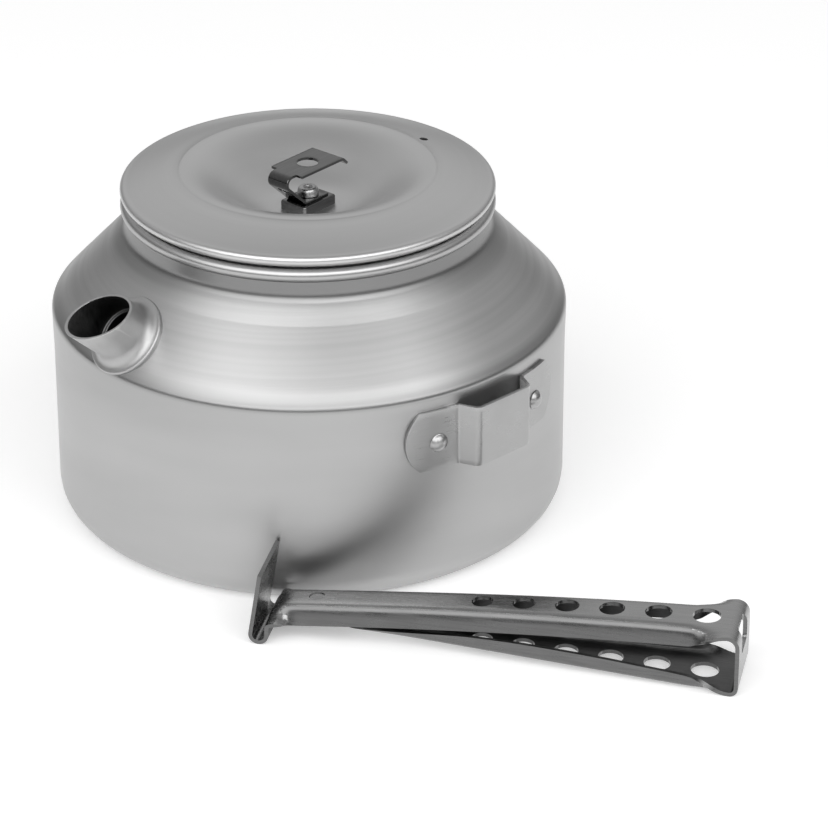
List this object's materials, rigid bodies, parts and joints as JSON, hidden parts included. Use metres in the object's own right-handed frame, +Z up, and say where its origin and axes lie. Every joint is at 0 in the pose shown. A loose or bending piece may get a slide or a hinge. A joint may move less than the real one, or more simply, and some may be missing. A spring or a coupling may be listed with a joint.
{
  "type": "camping kettle",
  "caption": "Camping kettle of spun aluminium: short shoulder spout, dished lift-off lid with a folded knob, riveted side bracket, and a folded steel handle unhooked and lying in front.",
  "frame": {"origin": "middle of the flat base, on the surface the kettle stands on", "axes": "+Z up along the kettle's axis; -Y towards the side the handle lies on; +X towards the far end of the handle, with the spout at -X -Y and the bracket at +X -Y"},
  "size_m": [0.2372, 0.2388, 0.1252],
  "materials": {
    "body_aluminium": "satin, turned, with fine rings round the shoulder",
    "lid_aluminium": "satin pressed sheet",
    "bracket_steel": "lightly brushed stainless sheet",
    "handle_steel": "bright stainless sheet with drawn streaks",
    "rivet_metal": "polished"
  },
  "bodies": {
    "kettle": {"kettle_body": "body_aluminium", "spout": "body_aluminium", "bracket": "bracket_steel", "bracket_rivet_left": "rivet_metal", "bracket_rivet_right": "rivet_metal"},
    "lid": {"lid": "lid_aluminium", "knob_base": "bracket_steel", "knob_grip": "bracket_steel", "knob_rivet": "rivet_metal", "knob_washer": "rivet_metal"},
    "handle": {"handle": "handle_steel"}
  },
  "joints": [
    {"name": "lid_lift", "type": "slide", "parent": "kettle", "child": "lid", "axis": [0, 0, 1], "range_m": [0, 0.06]},
    {"name": "handle_lift", "type": "slide", "parent": "kettle", "child": "handle", "axis": [0, 0, 1], "range_m": [0, 0.06]}
  ]
}
